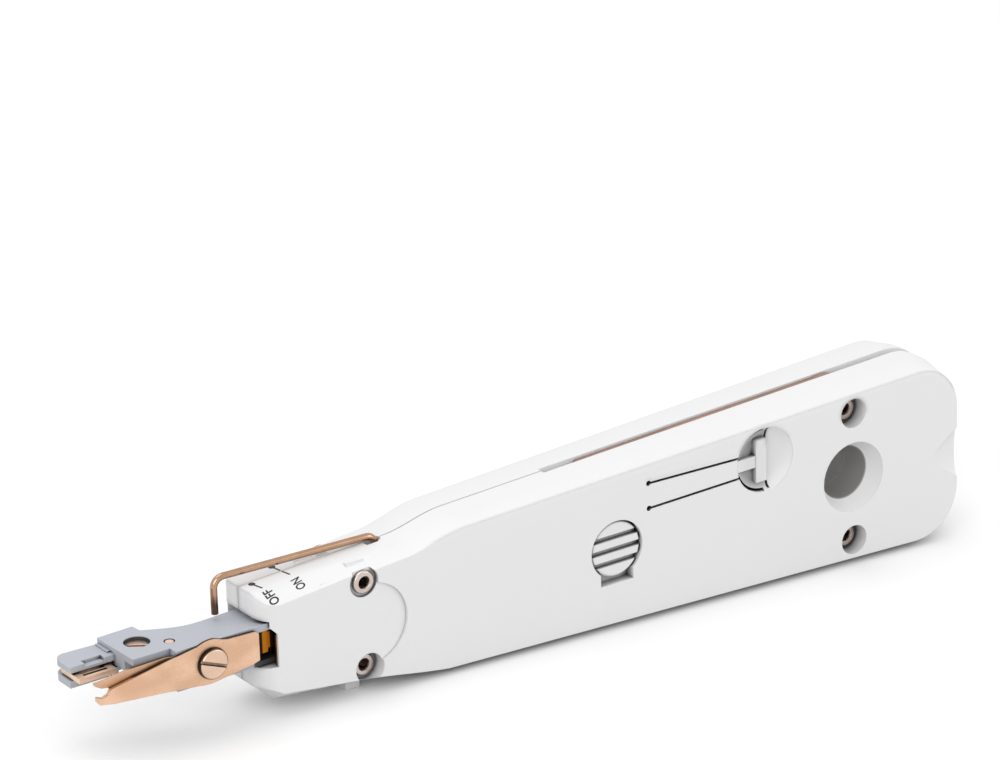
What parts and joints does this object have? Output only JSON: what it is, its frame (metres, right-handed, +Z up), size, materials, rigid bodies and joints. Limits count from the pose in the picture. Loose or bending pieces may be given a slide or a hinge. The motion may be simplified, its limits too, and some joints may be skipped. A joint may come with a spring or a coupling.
{
  "type": "punch down tool",
  "caption": "Hand tool that presses single wires into connection strips and trims them, with scissors on a sprung head and a fold-out hook and blade.",
  "frame": {"origin": "middle of the box round the tool, on the surface that it lies on", "axes": "+X along the tool from the head to the rear end, level with the lower narrow side; +Y through the thickness, from the lettered face to the plain one; +Z up across the face"},
  "size_m": [0.1792, 0.019, 0.0349],
  "materials": {
    "shell": "fine matt moulding",
    "head": "grey, satin",
    "carriage": "dark moulding",
    "copper": "copper tone, satin",
    "bronze": "amber tone, satin",
    "wire": "drawn wire, bright",
    "steel": "warm grey",
    "spring": "drawn wire",
    "nickel": "nickel, slightly warm"
  },
  "bodies": {
    "handle": {"button_spring": "spring", "housing_back": "shell", "housing_front": "shell", "main_spring": "spring", "rivet_front_lower": "nickel", "rivet_front_upper": "nickel", "rivet_rear_lower": "nickel", "rivet_rear_upper": "nickel", "scissor_cam": "bronze"},
    "head": {"insertion_head": "head", "wire_insert": "copper", "head_screw": "copper", "head_pin": "copper", "scissor_blade_fixed": "copper", "scissor_pivot_screw": "copper", "slide_carriage": "carriage"},
    "moving_blade": {"scissor_blade_moving": "copper"},
    "bail": {"sensor_bail": "wire"},
    "hook": {"fold_hook": "steel"},
    "blade": {"release_blade": "steel"},
    "button": {"ribbed_button": "shell"}
  },
  "joints": [
    {"name": "head_slide", "type": "slide", "parent": "handle", "child": "head", "axis": [0.9993, 0, 0.037], "range_m": [0, 0.003], "stiffness_N_per_m": 2000, "springref_m": -0.004, "deforming": ["main_spring"]},
    {"name": "scissor_turn", "type": "hinge", "parent": "head", "child": "moving_blade", "pos_m": [-0.06741, 0, 0.01368], "axis": [0, 1, 0], "range_deg": [0, 6.5]},
    {"name": "bail_swing", "type": "hinge", "parent": "handle", "child": "bail", "pos_m": [-0.03101, -0.0002, 0.02533], "axis": [-0.037, 0, 0.9993], "range_deg": [0, 7]},
    {"name": "hook_fold", "type": "hinge", "parent": "handle", "child": "hook", "pos_m": [0.06451, 0, 0.02907], "axis": [0, 1, 0], "range_deg": [0, 180]},
    {"name": "blade_fold", "type": "hinge", "parent": "handle", "child": "blade", "pos_m": [0.06542, 0, 0.00469], "axis": [0, -1, 0], "range_deg": [0, 180]},
    {"name": "button_press", "type": "slide", "parent": "handle", "child": "button", "axis": [0, 1, 0], "range_m": [0, 0.0012], "stiffness_N_per_m": 400, "springref_m": -0.0005, "deforming": ["button_spring"]}
  ],
  "couplings": [
    {"joint": "scissor_turn", "follows": "head_slide", "rad_per_m": 37.797}
  ]
}
